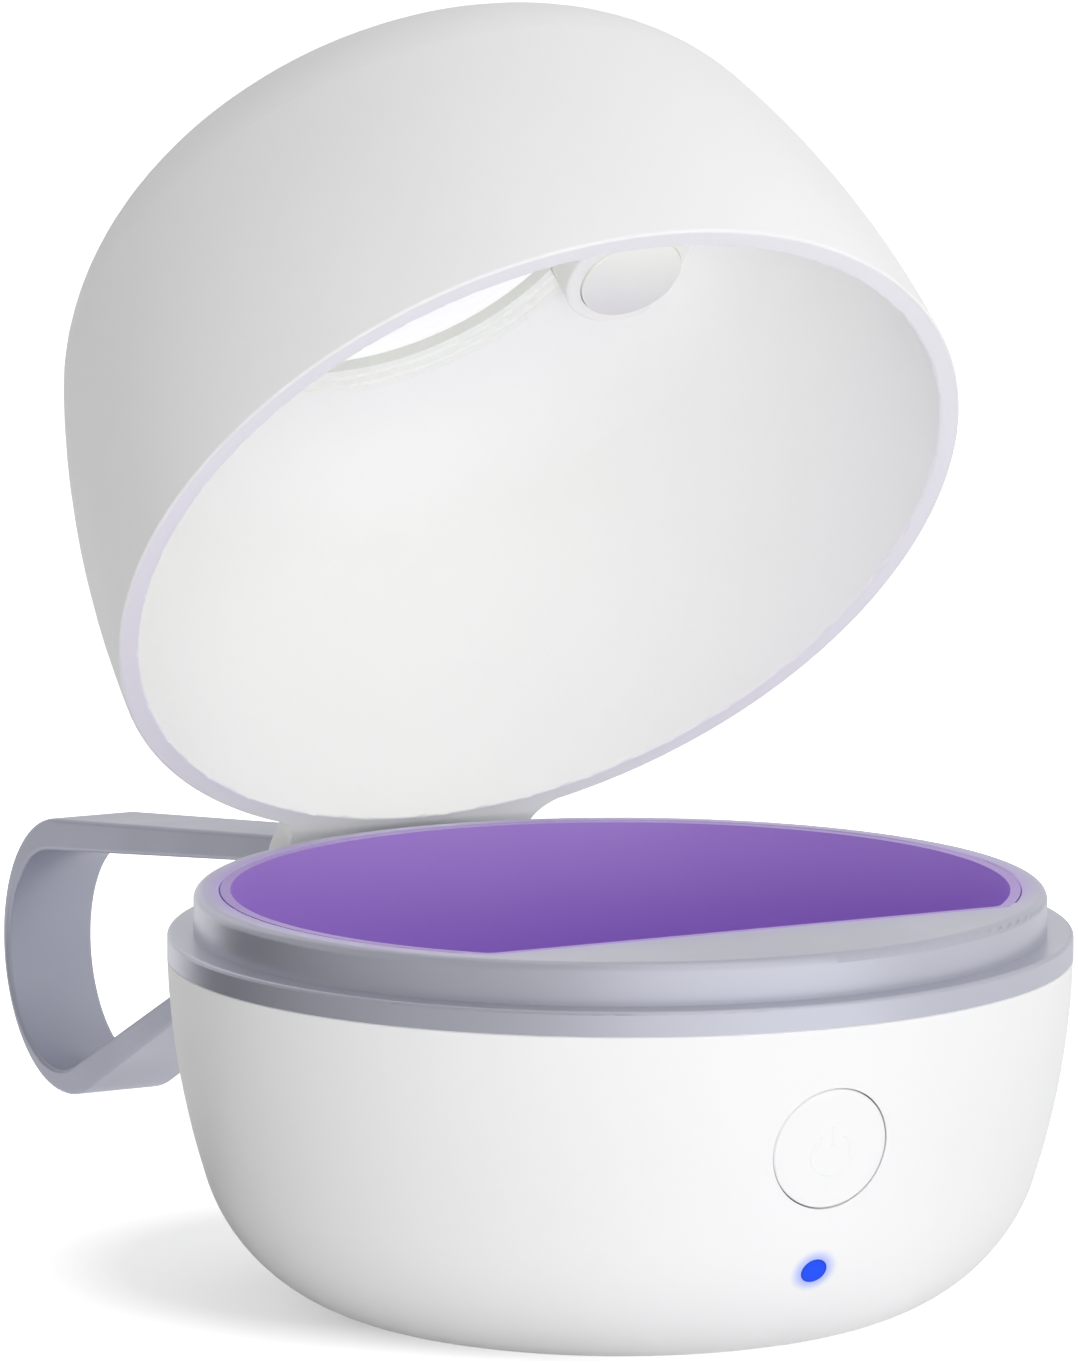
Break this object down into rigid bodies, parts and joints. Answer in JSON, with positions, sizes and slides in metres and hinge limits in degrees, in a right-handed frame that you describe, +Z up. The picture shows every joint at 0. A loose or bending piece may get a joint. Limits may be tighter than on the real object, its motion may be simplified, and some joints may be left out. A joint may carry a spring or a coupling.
{
  "type": "pacifier sterilizer case",
  "caption": "Portable UV steriliser for pacifiers: round bowl with a lit chamber, deep dome lid on a rear hinge, push button, indicator light and flat carrying loop.",
  "frame": {"origin": "centre of the foot on the table", "axes": "+Z up, the push button towards -Y, the carrying loop towards +Y"},
  "size_m": [0.096, 0.1934, 0.137],
  "materials": {
    "white_shell": "satin white ABS, finely textured moulding",
    "grey_ring": "semi-gloss blue-grey ABS",
    "grey_strap": "satin blue-grey flexible plastic",
    "liner": "smooth moulded plastic, reflective",
    "clear_window": "clear polycarbonate, polished",
    "quartz": "polished quartz",
    "silicone": "matt silicone rubber",
    "circuit_board": "green solder mask",
    "chip_body": "black moulded epoxy",
    "emitter": "white ceramic with clear dome",
    "steel": "nickel-plated steel",
    "magnet": "nickel-plated neodymium magnet",
    "battery_film": "aluminium pouch film",
    "lead_sleeve": "silicone-insulated wire",
    "light_guide": "clear light guide, lit blue",
    "washer": "acetal friction washer",
    "plunger": "moulded switch plunger"
  },
  "bodies": {
    "base": {"base_ring": "grey_ring", "base_shell": "white_shell", "battery_cell": "battery_film", "battery_leads": "lead_sleeve", "battery_pad": "silicone", "board_parts": "chip_body", "board_screws": "steel", "button_seal": "silicone", "case_screws": "steel", "catch_magnet": "magnet", "chamber_liner": "liner", "charging_port": "steel", "foot_pad": "silicone", "front_board": "circuit_board", "front_ribbon": "circuit_board", "handle_loop": "grey_strap", "handle_pin": "steel", "hinge_pin": "steel", "hinge_washers": "washer", "indicator_guide": "light_guide", "indicator_led": "emitter", "lamp_board": "circuit_board", "lamp_header": "chip_body", "lamp_screws": "steel", "lamp_window": "quartz", "lid_sensor": "chip_body", "main_board": "circuit_board", "port_tongue": "chip_body", "switch_housing": "chip_body", "uv_emitters": "emitter", "window_seal": "silicone"},
    "lid": {"lid_shell": "white_shell", "crown_window": "clear_window", "window_ring": "white_shell", "boss_plug": "white_shell", "lid_magnet": "magnet"},
    "button": {"power_button": "white_shell"},
    "plunger": {"switch_plunger": "plunger"}
  },
  "joints": [
    {"name": "lid_hinge", "type": "hinge", "parent": "base", "child": "lid", "pos_m": [0, 0.0519, 0.04113], "axis": [-1, 0, 0], "range_deg": [-49.1, 45.9]},
    {"name": "power_button_press", "type": "slide", "parent": "base", "child": "button", "axis": [0, 0.9837, 0.1797], "range_m": [0, 0.0006], "stiffness_N_per_m": 2000},
    {"name": "switch_plunger_press", "type": "slide", "parent": "base", "child": "plunger", "axis": [0, 0.9837, 0.1797], "range_m": [0, 0.0006]}
  ],
  "couplings": [
    {"joint": "switch_plunger_press", "follows": "power_button_press", "ratio": 1}
  ]
}
